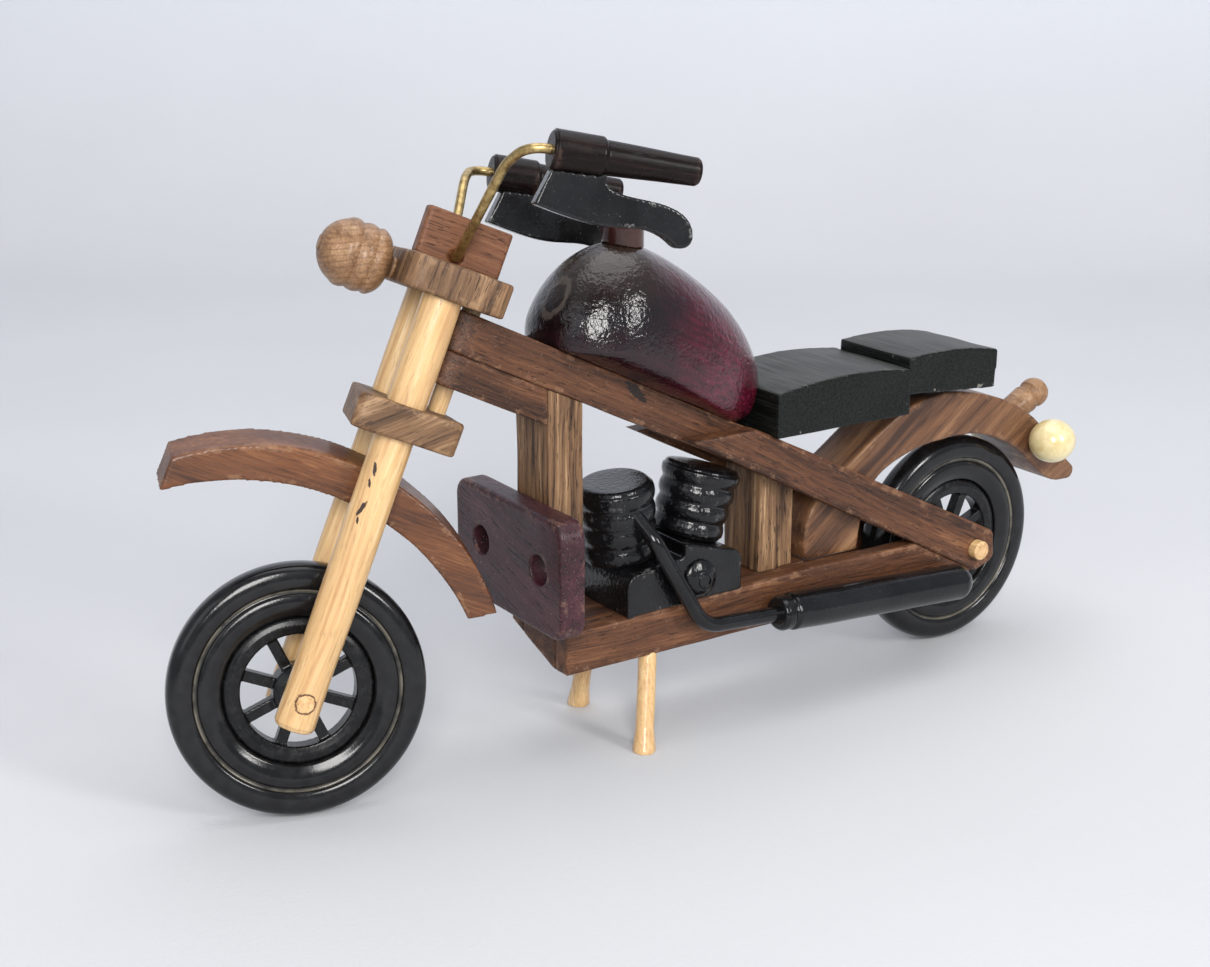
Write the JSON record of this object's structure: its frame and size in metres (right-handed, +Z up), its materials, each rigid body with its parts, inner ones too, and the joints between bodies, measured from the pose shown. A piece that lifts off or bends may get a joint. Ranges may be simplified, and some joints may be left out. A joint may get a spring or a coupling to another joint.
{
  "type": "wooden toy motorcycle",
  "caption": "Handmade wooden toy motorcycle: sloping beam frame, egg tank, turned cylinders and exhaust, dowel fork that steers, moulded wheels that roll.",
  "frame": {"origin": "middle of the footprint, on the ground under the tyres", "axes": "+X forward towards the front wheel, +Y to the rider's left, +Z up"},
  "size_m": [0.2916, 0.0822, 0.1685],
  "materials": {
    "frame_wood": "dark stained hardwood, waxed",
    "post_wood": "coarse streaky hardwood",
    "fender_wood": "striped open-grained hardwood",
    "guard_wood": "purple-brown stain, worn edges",
    "black_lacquer": "black gloss lacquer on turned wood",
    "seat_wood": "black stain, satin top",
    "grip_wood": "dark turned wood, satin",
    "maroon_lacquer": "maroon to black gloss lacquer",
    "honey_dowel": "light dowel, clear gloss varnish",
    "clamp_wood": "brown hardwood, satin",
    "red_wood": "red-brown hardwood, fine cross-grain",
    "lamp_wood": "brown turned wood, satin",
    "bead": "cream painted bead, gloss",
    "brass_wire": "tarnished brass",
    "tyre": "moulded black rubber, satin",
    "rim_plastic": "moulded black plastic, gloss"
  },
  "bodies": {
    "frame": {"spine": "frame_wood", "neck_block": "frame_wood", "base_board": "frame_wood", "left_stay": "frame_wood", "right_stay": "frame_wood", "left_lower_rail": "frame_wood", "right_lower_rail": "frame_wood", "front_post": "post_wood", "rear_post": "post_wood", "rear_fender": "fender_wood", "foot_guard": "guard_wood", "crankcase": "black_lacquer", "left_crank_button": "black_lacquer", "right_crank_button": "black_lacquer", "front_cylinder": "black_lacquer", "rear_cylinder": "black_lacquer", "exhaust_pipe": "black_lacquer", "silencer": "black_lacquer", "front_seat": "seat_wood", "rear_seat": "seat_wood", "fuel_tank": "maroon_lacquer", "filler_cap": "maroon_lacquer", "rear_axle": "honey_dowel", "left_stand_peg": "honey_dowel", "right_stand_peg": "honey_dowel", "tail_lamp": "lamp_wood", "left_tail_ball": "bead", "right_tail_ball": "bead"},
    "steering": {"steering_stem": "honey_dowel", "left_fork_leg": "honey_dowel", "right_fork_leg": "honey_dowel", "lower_clamp": "clamp_wood", "upper_clamp": "clamp_wood", "head_block": "red_wood", "headlamp": "lamp_wood", "left_handlebar": "brass_wire", "right_handlebar": "brass_wire", "left_grip": "grip_wood", "right_grip": "grip_wood", "left_lever": "black_lacquer", "right_lever": "black_lacquer", "front_axle": "honey_dowel", "front_fender": "red_wood"},
    "front_wheel": {"front_tyre": "tyre", "front_rim": "rim_plastic"},
    "rear_wheel": {"rear_tyre": "tyre", "rear_rim": "rim_plastic"}
  },
  "joints": [
    {"name": "steering_pivot", "type": "hinge", "parent": "frame", "child": "steering", "pos_m": [0.10604, -0.00447, 0.02823], "axis": [-0.4019, 0, 0.9157], "range_deg": [-7, 50]},
    {"name": "front_wheel_spin", "type": "hinge", "parent": "steering", "child": "front_wheel", "pos_m": [0.11473, -0.00764, 0.03204], "axis": [0.2905, 0.9483, 0.1275], "continuous": true},
    {"name": "rear_wheel_spin", "type": "hinge", "parent": "frame", "child": "rear_wheel", "pos_m": [-0.0992, -0.00447, 0.032], "axis": [0, 1, 0], "continuous": true}
  ]
}
